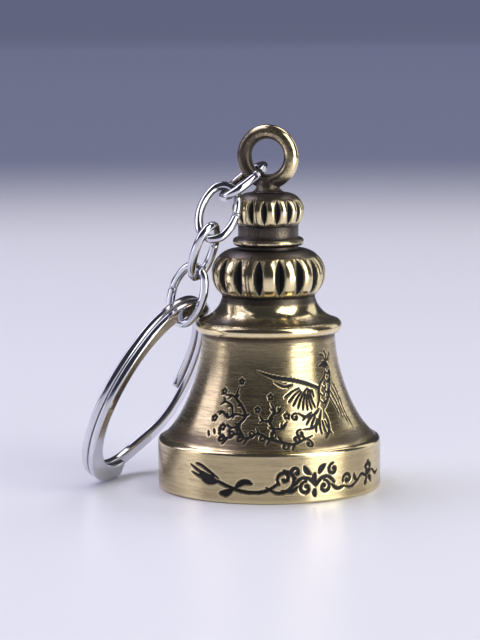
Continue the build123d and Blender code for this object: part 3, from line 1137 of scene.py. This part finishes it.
@dataclass
class NeckCollar:
    """The plain neck with its bead."""

    radius: float = 4.05
    bead_radius: float = 4.78
    bead_height: float = 1.05
    bead_centre: float = 1.05
    bore_radius: float = BORE_RADIUS

    def build(self, finish: bpy.types.Material, line: PartingLine) -> None:
        """Makes the collar.

        Args:
            finish: Its material.
            line: The mould's parting line.
        """
        base, top = lowest("neck_collar"), highest("neck_collar")
        bead = base + self.bead_centre
        low, high = bead - self.bead_height / 2, bead + self.bead_height / 2
        outline = spaced([(self.radius, base), (self.radius, low)], 0.15)
        outline += through(
            (self.radius, low), (self.bead_radius, bead), (self.radius, high), 20
        )[1:]
        outline += spaced([(self.radius, high), (self.radius, top)], 0.2)[1:]
        face = len(outline)
        outline += spaced([(self.bore_radius, top), (self.bore_radius, base)], 1.5)

        def shape(
            radius: np.ndarray, height: np.ndarray, azimuth: np.ndarray
        ) -> tuple[np.ndarray, Masks]:
            """Raises the parting line, paints shade in the corners beside the bead and at the ends,
            and darkens the whole face as a painted dark reflection.
            """
            new, dirt = line.add(radius, azimuth)
            outer = np.zeros(radius.shape)
            outer[:face] = 1
            # Painted shade in the corners beside the bead and at both ends.
            corners = bump(height - low, 0.25) + bump(height - high, 0.3) + bump(height - top, 0.5)
            corners = corners + bump(height - base, 0.5)
            worn = outer * 0.5 * step_up(radius, self.bead_radius - 0.25, self.bead_radius)
            # The even 0.52 darkening is a painted dark reflection; the parting line's share is dirt.
            sheltered = outer * (0.52 + 0.6 * corners + dirt) * (1 - worn)
            return np.where(outer > 0, new, radius), {"sheltered": sheltered, "worn": worn}

        piece = turned("neck_collar_cast", outline, even(320), shape)
        dressed(piece, "bell", "antique_bronze_cast", finish, "neck_collar")


@dataclass
class HangingEye:
    """The cast eye, its flared foot, the stud and the drilled tang, blended into one casting."""

    radius: float = 3.325
    tube: float = 1.0
    turn: float = -20.0
    foot_radius: float = 2.65
    foot_neck: float = 1.35
    foot_height: float = 1.45
    stud_radius: float = 1.5
    tang_width: float = 2.4
    tang_thickness: float = 1.0
    tang_hole: float = 0.58
    tang_length: float = 2.2
    grain: float = 0.11
    softening: float = 0.5
    softenings: int = 6

    def _ring(self, centre: float) -> tuple[np.ndarray, np.ndarray]:
        """The eye's ring as points and faces."""
        around, across = np.meshgrid(even(120), even(44), indexing="ij")
        reach = self.radius + self.tube * np.cos(across)
        flat = np.stack(
            [reach * np.cos(around), self.tube * np.sin(across), reach * np.sin(around)], -1
        )
        turn = math.radians(self.turn)
        spin = np.array(
            [[math.cos(turn), -math.sin(turn), 0], [math.sin(turn), math.cos(turn), 0], [0, 0, 1]]
        )
        points = flat.reshape(-1, 3) @ spin.T + [0, 0, centre]
        return points, grid_faces(120, 44)

    def _stem(self, seat: float, end: float) -> tuple[np.ndarray, np.ndarray]:
        """The foot and the stud as one turned shape, closed on its axis."""
        foot_top = seat + self.foot_height
        short = 1 - math.sqrt(0.5)
        curve = through(
            (self.foot_radius, seat),
            (
                self.foot_neck + (self.foot_radius - self.foot_neck) * short,
                seat + self.foot_height * short,
            ),
            (self.foot_neck, foot_top),
            14,
        )
        outline = [(0.001, end), *spaced([(self.stud_radius, end), (self.stud_radius, seat)], 1.0)]
        outline += [*curve, (0.001, foot_top + 0.2)]
        section = np.array(outline)
        azimuth = even(64)
        radius = np.repeat(section[:, :1], 64, 1)
        height = np.repeat(section[:, 1:], 64, 1)
        points = np.stack([radius * np.sin(azimuth), -radius * np.cos(azimuth), height], -1)
        return points.reshape(-1, 3), grid_faces(len(outline), 64)

    def _tang(self, end: float) -> bpy.types.Object:
        """The drilled tongue under the stud, from a flat outline with a hole."""
        curve = bpy.data.curves.new("tang_outline", "CURVE")
        curve.dimensions = "2D"
        curve.fill_mode = "BOTH"
        curve.extrude = self.tang_thickness / 2 * METRES_PER_MM
        half = self.tang_width / 2
        centre = end - self.tang_length + half
        edge = [(half, end + 0.6), (-half, end + 0.6)]
        edge += [(x, y) for x, y in arc((0, centre), half, 180, 360, 24)]
        for loop in (edge, arc((0, centre), self.tang_hole, 0, 345, 24)):
            spline = curve.splines.new("POLY")
            spline.points.add(len(loop) - 1)
            spline.use_cyclic_u = True
            for point, (x, y) in zip(spline.points, loop, strict=True):
                point.co = (x * METRES_PER_MM, y * METRES_PER_MM, 0, 1)
        made = placed("tang", curve)
        made.matrix_world = Matrix.Rotation(math.pi / 2, 4, "X")
        return made

    def build(self, finish: bpy.types.Material) -> None:
        """Makes the casting.

        Args:
            finish: Its material.
        """
        seat = highest("upper_knop")
        centre = highest("hanging_eye") - self.radius - self.tube
        end = lowest("hanging_eye") + self.tang_length
        pieces = [
            mesh_object("eye_ring", *self._ring(centre), {}),
            mesh_object("eye_stem", *self._stem(seat, end), {}),
            self._tang(end),
        ]
        bpy.context.view_layer.update()
        graph = bpy.context.evaluated_depsgraph_get()
        points, faces = [], []
        for piece in pieces:
            mesh = bpy.data.meshes.new_from_object(piece.evaluated_get(graph))
            offset = sum(len(p) for p in points)
            points.append(
                np.array([piece.matrix_world @ v.co for v in mesh.vertices]) * MM_PER_METRE
            )
            faces += [[offset + k for k in polygon.vertices] for polygon in mesh.polygons]
            bpy.data.objects.remove(piece)
        joined = bpy.data.meshes.new("eye_joined")
        joined.from_pydata((np.vstack(points) * METRES_PER_MM).tolist(), [], faces)
        eye = placed("hanging_eye_cast", joined)
        remesh = eye.modifiers.new("blend", "REMESH")
        remesh.mode = "VOXEL"
        remesh.voxel_size = self.grain * METRES_PER_MM
        smooth = eye.modifiers.new("soften", "SMOOTH")
        smooth.factor = self.softening
        smooth.iterations = self.softenings
        bpy.context.view_layer.update()
        mesh = bpy.data.meshes.new_from_object(
            eye.evaluated_get(bpy.context.evaluated_depsgraph_get())
        )
        eye.modifiers.clear()
        eye.data = mesh
        place = np.array([v.co for v in mesh.vertices]) * MM_PER_METRE
        self._paint(mesh, place, seat, centre)
        mesh.polygons.foreach_set("use_smooth", [True] * len(mesh.polygons))
        dressed(eye, "bell", "antique_bronze_cast", finish, "hanging_eye")

    def _paint(self, mesh: bpy.types.Mesh, place: np.ndarray, seat: float, centre: float) -> None:
        """Paints shade at the foot, inside the ring and down its left side, and wear on its outside.

        Args:
            mesh: The casting.
            place: Its vertices in millimetres.
            seat: The height of the foot's seat.
            centre: The height of the ring's centre.
        """
        reach = np.hypot(np.hypot(place[:, 0], place[:, 1]), place[:, 2] - centre)
        top = seat + self.foot_height
        ring = step_up(place[:, 2], top - 0.2, top + 1.5)
        # Painted shade inside the ring.
        inside = step_up(-reach, -(self.radius - 0.2), -(self.radius - self.tube)) * ring
        # Painted shade down the ring's left side.
        painted_left_shade = 0.3 * step_up(-place[:, 0], 0.5, 3.5) * ring
        # Painted shade at the foot's seat and where it meets the ring.
        foot = bump(place[:, 2] - seat, 0.5) + 0.8 * bump(
            place[:, 2] - seat - self.foot_height, 0.9
        )
        sheltered = 0.9 * inside + painted_left_shade + 0.8 * foot * (1 - ring)
        rubbed = step_up(reach, self.radius + 0.3, self.radius + self.tube)
        # The wear on the outside is kept off the painted shade on the left.
        paint(mesh, {"sheltered": sheltered, "worn": 0.5 * rubbed * ring * (1 - painted_left_shade)})


@dataclass
class PlainPieces:
    """The pieces inside the bell, shown as packed."""

    slots: dict[str, tuple[str, ...]] = field(
        default_factory=lambda: {
            "aged_steel": ("crown_washer", "crown_nut", "clapper_ring", "clapper_rod"),
            "clapper_brass": ("clapper_ball",),
        }
    )

    def dress(
        self, nodes: dict[str, bpy.types.Object], finishes: dict[str, bpy.types.Material]
    ) -> None:
        """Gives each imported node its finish.

        Args:
            nodes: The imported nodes.
            finishes: The material of each slot.
        """
        for slot, names in self.slots.items():
            for name in names:
                nodes[name].data.materials.clear()
                nodes[name].data.materials.append(finishes[slot])
                LOG.info("%s: packed shape, %s", name, slot)


# Chain and ring


def swept(
    name: str,
    path: np.ndarray,
    across: np.ndarray,
    axis: np.ndarray,
    section: np.ndarray,
    closed: bool,
    scale: np.ndarray,
    masks: Masks,
) -> bpy.types.Object:
    """A section carried along a path.

    Args:
        name: The piece's name.
        path: The places it passes, in millimetres.
        across: The section's first direction at each place.
        axis: Its second direction, at each place.
        section: The section's points.
        closed: Whether the path meets its own start.
        scale: The section's size at each place.
        masks: Masks, one row per place and one number per section point.

    Returns:
        The linked object.
    """
    spread = section[None, :, :] * scale[:, None, None]
    points = (
        path[:, None, :] + spread[..., :1] * across[:, None, :]
        + spread[..., 1:] * axis[:, None, :]
    )
    rows, columns = points.shape[:2]
    faces = grid_faces(rows, columns, closed)[:, ::-1].tolist()
    if not closed:
        faces += [list(range(columns)), list(range((rows - 1) * columns, rows * columns))[::-1]]
    return mesh_object(name, points.reshape(-1, 3), faces, masks)


@dataclass
class ChainLink:
    """An oval wire link with its butt joint on one side."""

    node: str
    wire: float = 1.15
    opening_length: float = 7.15
    opening_width: float = 3.65
    end_radius: float = 1.275
    joint_width: float = 0.07

    def _pose(self, packed: bpy.types.Object) -> tuple[np.ndarray, np.ndarray]:
        """The link's centre and its long, wide and thin directions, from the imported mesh."""
        place = np.array([v.co for v in packed.data.vertices]) * MM_PER_METRE
        _, _, axes = np.linalg.svd(place - place.mean(0), full_matrices=False)
        along = (place - place.mean(0)) @ axes.T
        centre = place.mean(0) + ((along.min(0) + along.max(0)) / 2) @ axes
        axes[2] = np.cross(axes[0], axes[1])
        return centre, axes

    def _loop(self) -> tuple[np.ndarray, np.ndarray]:
        """The wire's centreline and its outward direction, in the link's own plane."""
        bend = self.end_radius + self.wire / 2
        half = (self.opening_width + self.wire) / 2
        end = (self.opening_length + self.wire) / 2 - bend
        side = (end**2 + half**2 - bend**2) / (2 * (half - bend))
        tilt = math.degrees(math.atan2(side - half, end))
        path: list[Point] = []
        for centre, radius, start, stop, count in (
            ((end, 0.0), bend, -tilt, tilt, 26),
            ((0.0, half - side), side, tilt, 90.0, 20),
            ((0.0, half - side), side, 90.0, 180.0 - tilt, 20),
            ((-end, 0.0), bend, 180.0 - tilt, 180.0 + tilt, 26),
            ((0.0, side - half), side, 180.0 + tilt, 360.0 - tilt, 40),
        ):
            path += arc(centre, radius, start, stop, count)[:-1]
        line = np.array(path)
        joint = np.argmin(np.abs(line[:, 0]) + 9 * (line[:, 1] < 0))
        steps = np.array([-0.22, -0.12, -0.06, -0.03, 0.03, 0.06, 0.12, 0.22])[::-1]
        extra = np.stack([line[joint, 0] + steps, np.full(8, line[joint, 1])], 1)
        line = np.vstack([line[:joint], extra, line[joint + 1 :]])
        ahead = np.roll(line, -1, 0) - np.roll(line, 1, 0)
        ahead /= np.linalg.norm(ahead, axis=1)[:, None]
        return line, np.stack([ahead[:, 1], -ahead[:, 0]], 1)

    def build(self, packed: bpy.types.Object, finish: bpy.types.Material) -> None:
        """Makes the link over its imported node.

        Args:
            packed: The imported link.
            finish: Its material.
        """
        centre, axes = self._pose(packed)
        line, out = self._loop()
        path = centre + line @ axes[:2]
        across = out @ axes[:2]
        thin = np.repeat(axes[2:], len(line), 0)
        ring = even(28)
        section = np.stack([np.cos(ring), np.sin(ring)], 1) * self.wire / 2
        seam = bump(line[:, 0], self.joint_width) * (line[:, 1] > 0)
        ends = step_up(
            np.abs(line[:, 0]), self.opening_length / 2 - 1.2, self.opening_length / 2 + 0.3
        )
        inner = np.clip(-np.cos(ring), 0, 1)
        # The butt joint is a dark joint; the inner faces at the ends get painted shade where the next
        # link passes.
        sheltered = np.clip(seam[:, None] * 0.9 + 0.25 * ends[:, None] * inner[None, :], 0, 1)
        piece = swept(
            f"{self.node}_wire", path, across, thin, section, True, 1 - 0.16 * seam, {
                "sheltered": sheltered
            }
        )
        dressed(piece, self.node, "bright_nickel", finish, self.node)


@dataclass
class SplitRing:
    """Two coils of flat wire, joined where the wire crosses over."""

    radius: float = 14.0
    section: float = 2.4
    thickness: float = 0.95
    gap: float = 0.05
    rounding: float = 0.3
    crossover: float = 50.0
    end_gap: float = 2.5
    turn: float = -70.0

    def _section(self) -> np.ndarray:
        """The flat wire's rounded section."""
        wide, thick = self.section / 2 - self.rounding, self.thickness / 2 - self.rounding
        points: list[Point] = []
        for x, y, start in (
            (wide, thick, 0), (-wide, thick, 90), (-wide, -thick, 180), (wide, -thick, 270)
        ):
            points += arc((x, y), self.rounding, start, start + 90, 6)
        return np.array(spaced([*points, points[0]], 0.35)[:-1])

    def build(self, mount: dict[str, object], finish: bpy.types.Material) -> None:
        """Makes the ring at its mount.

        Args:
            mount: The record's mount at the ring's centre.
            finish: Its material.
        """
        normal = np.array(mount["axis"]) / np.linalg.norm(mount["axis"])
        level = np.cross([0, 0, 1.0], normal)
        level /= np.linalg.norm(level)
        steep = np.cross(normal, level)
        middle = self.radius - self.section / 2
        offset = (self.thickness + self.gap) / 2
        coil = 360 - self.crossover - math.degrees(self.end_gap / middle)
        angle = np.linspace(-coil, self.crossover + coil, 420)
        share = np.clip(angle / self.crossover, 0, 1)
        height = -offset * np.cos(math.pi * share)
        turn = np.radians(angle + self.turn)
        out = np.cos(turn)[:, None] * level + np.sin(turn)[:, None] * steep
        path = np.array(mount["pos_m"]) * MM_PER_METRE + middle * out + height[:, None] * normal
        axis = np.repeat(normal[None, :], len(path), 0)
        section = self._section()
        # Painted shade on the coil faces that face each other.
        facing = np.sign(height)[:, None] * section[None, :, 1] < -self.thickness / 2 + 0.12
        masks = {"sheltered": np.where(facing, 0.7, 0.0)}
        piece = swept(
            "split_ring_coils", path, out, axis, section, False, np.ones(len(path)), masks
        )
        dressed(piece, "split_ring", "bright_nickel", finish, "split_ring")


# Studio


@dataclass(frozen=True)
class SoftBox:
    """A large soft light that faces the bell."""

    name: str
    azimuth: float
    distance: float
    height: float
    size: tuple[float, float]
    radiance: float
    colour: Colour = (1.0, 1.0, 1.0)
    seen_in_gloss: bool = True
    lights_floor: bool = True

    def build(self, target: Vector) -> None:
        """Places the light.

        Args:
            target: What it faces.
        """
        light = bpy.data.lights.new(self.name, "AREA")
        light.shape = "RECTANGLE"
        light.size, light.size_y = self.size
        light.color = self.colour
        light.energy = self.radiance * math.pi * self.size[0] * self.size[1]
        made = placed(self.name, light)
        turn = math.radians(self.azimuth)
        made.location = (
            self.distance * math.sin(turn), -self.distance * math.cos(turn), self.height
        )
        made.rotation_euler = (target - made.location).to_track_quat("-Z", "Y").to_euler()
        made.visible_camera = False
        made.visible_glossy = self.seen_in_gloss
        made.visible_diffuse = self.lights_floor


@dataclass
class Studio:
    """The pale floor, the lights and the camera."""

    distance: float = 0.350
    eye_height: float = 0.0652
    yaw: float = -0.01099
    pitch: float = 0.1218
    roll: float = -0.0060
    lens: float = 147.45
    aim_height: float = 0.022
    floor_radius: float = 6.0
    floor_height: float = -0.00002
    floor_roughness: float = 0.32
    cove_height: float = 0.6
    # The floor is painted darker far from the bell, as a painted pool of light near it, and given a
    # faint painted glow far out.
    pale_to: float = 0.34
    painted_shade_from: float = 0.77
    pale: Colour = (0.755, 0.765, 0.82)
    dim: Colour = (0.05, 0.05, 0.07)
    painted_far_glow: Colour = (0.115, 0.123, 0.200)
    room: Colour = (0.42, 0.44, 0.58)
    room_strength: float = 0.10
    lights: tuple[SoftBox, ...] = (
        SoftBox("right_box", 57, 0.50, 0.34, (0.38, 0.70), 3.4, (1.0, 0.99, 0.95)),
        SoftBox(
            "right_strip",
            58,
            0.15,
            0.018,
            (0.11, 0.034),
            5.0,
            (1.0, 0.99, 0.95),
            lights_floor=False,
        ),
        SoftBox("left_box", -96, 0.50, 0.42, (0.44, 0.70), 2.5, (0.80, 0.77, 1.0)),
        SoftBox(
            "left_strip", -82, 0.15, 0.016, (0.06, 0.03), 1.6, (0.95, 0.92, 1.0), lights_floor=False
        ),
        SoftBox("high_left_box", -142, 0.42, 0.60, (0.34, 0.30), 3.9, (0.82, 0.75, 1.0)),
        SoftBox("high_right_box", 142, 0.42, 0.60, (0.34, 0.30), 2.0, (1.0, 0.96, 0.98)),
        SoftBox("back_right_box", 128, 0.60, 0.22, (0.26, 0.40), 1.0),
        SoftBox("overhead", 180, 0.75, 1.6, (3.0, 3.0), 0.95, seen_in_gloss=False),
    )

    def build(self) -> None:
        """Makes the whole studio."""
        bpy.context.scene.view_settings.view_transform = "Standard"
        self._floor()
        self._world()
        self._camera()
        for light in self.lights:
            light.build(Vector((0, 0, self.aim_height)))

    def _floor(self) -> None:
        """A round floor, pale near the bell and painted darker far from it as a painted pool of
        light, with a faint painted glow far out; it turns up at its edge.
        """
        reaches = (0.0005, 0.02, 0.1, 0.4, 0.8, 1.6, 3.0, self.floor_radius)
        rings = [(r, self.floor_height) for r in reaches]
        rings.append((self.floor_radius, self.cove_height))
        turns = even(96)
        points = np.array([(r * math.cos(t), r * math.sin(t), z) for r, z in rings for t in turns])
        faces = grid_faces(len(rings), len(turns), False)[:, ::-1].tolist()
        faces.append(list(range(len(turns))))
        floor = mesh_object("studio_floor", points * MM_PER_METRE, faces, {})
        bench = Bench("pale_floor")
        place = bench.place()
        reach = bench.node("ShaderNodeVectorMath", {"operation": "LENGTH"}, {0: place}, "Value")
        # Painted falloff from the pale colour to the dim one, and the painted glow, by distance from
        # the bell.
        far = reach.ramp(self.pale_to * MM_PER_METRE, self.painted_shade_from * MM_PER_METRE)
        floor.data.materials.append(
            bench.surface(
                {
                    "Base Color": bench.blend(far, self.pale, self.dim),
                    "Roughness": self.floor_roughness,
                    "Emission Color": bench.blend(far, (0.0, 0.0, 0.0), self.painted_far_glow),
                    "Emission Strength": 1.0,
                }
            )
        )

    def _world(self) -> None:
        """A dim, cool room."""
        world = bpy.data.worlds.new("room")
        world.use_nodes = True
        background = world.node_tree.nodes["Background"]
        background.inputs["Color"].default_value = (*self.room, 1.0)
        background.inputs["Strength"].default_value = self.room_strength
        bpy.context.scene.world = world

    def _camera(self) -> None:
        """The camera, level with the bell's crown and tipped a little down."""
        ahead = Vector(
            (
                math.sin(self.yaw) * math.cos(self.pitch),
                math.cos(self.yaw) * math.cos(self.pitch),
                -math.sin(self.pitch),
            )
        )
        right = ahead.cross(Vector((0, 0, 1))).normalized()
        up = right.cross(ahead)
        rolled_right = right * math.cos(self.roll) + up * math.sin(self.roll)
        rolled_up = up * math.cos(self.roll) - right * math.sin(self.roll)
        camera = bpy.data.cameras.new("camera")
        camera.lens = self.lens
        camera.clip_start = 0.01
        made = placed("camera", camera)
        made.matrix_world = Matrix(
            (
                (rolled_right.x, rolled_up.x, -ahead.x, 0),
                (rolled_right.y, rolled_up.y, -ahead.y, -self.distance),
                (rolled_right.z, rolled_up.z, -ahead.z, self.eye_height),
                (0, 0, 0, 1),
            )
        )
        bpy.context.scene.camera = made


def corners(bounds: Sequence[Sequence[float]]) -> list[list[float]]:
    """A box's two corners as plain lists."""
    return [[float(x) for x in corner] for corner in bounds]


def main() -> None:
    """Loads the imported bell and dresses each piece."""
    logging.basicConfig(level=logging.INFO, format="%(message)s")
    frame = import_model()
    Studio().build()
    finishes = {
        "antique_bronze_shell": AntiqueBronze(
            "antique_bronze_shell", Grain.TURNED, spread=0.6
        ).build(),
        "antique_bronze_cast": AntiqueBronze(
            "antique_bronze_cast",
            Grain.CAST,
            patina=(0.045, 0.037, 0.034),
            age=0.58,
            roughness=0.13,
        ).build(),
        "aged_steel": PlainMetal(
            "aged_steel", colour=(0.42, 0.41, 0.39), stain=(0.16, 0.13, 0.10)
        ).build(),
        "clapper_brass": PlainMetal(
            "clapper_brass", colour=(0.62, 0.46, 0.20), stain=(0.30, 0.20, 0.09), roughness=0.26
        ).build(),
        "bright_nickel": PolishedNickel().build(),
    }
    lower_knop = FlutedKnop(
        "lower_knop",
        radius=7.66,
        belly=2.6,
        foot_radius=6.25,
        top_radius=5.1,
        depth=1.16,
        width=1.66,
        from_front=-10.5,
        round_over=False,
    )
    upper_knop = FlutedKnop(
        "upper_knop",
        radius=4.83,
        belly=2.1,
        foot_radius=4.05,
        top_radius=2.6,
        depth=0.72,
        width=1.16,
        from_front=-7.0,
        round_over=True,
    )
    cast = finishes["antique_bronze_cast"]
    line = PartingLine()
    BellShell().build(finishes["antique_bronze_shell"])
    ShoulderCap().build(cast)
    lower_knop.build(cast, line)
    NeckCollar().build(cast, line)
    upper_knop.build(cast, line)
    HangingEye().build(cast)
    PlainPieces().dress(frame["nodes"], finishes)
    for number in range(1, LINK_COUNT + 1):
        node = f"chain_link_{number}"
        ChainLink(node).build(frame["nodes"][node], finishes["bright_nickel"])
    mounts = {mount["name"]: mount for mount in frame["record"]["mounts"]}
    SplitRing().build(mounts["key_ring"], finishes["bright_nickel"])


if __name__ == "__main__":
    main()
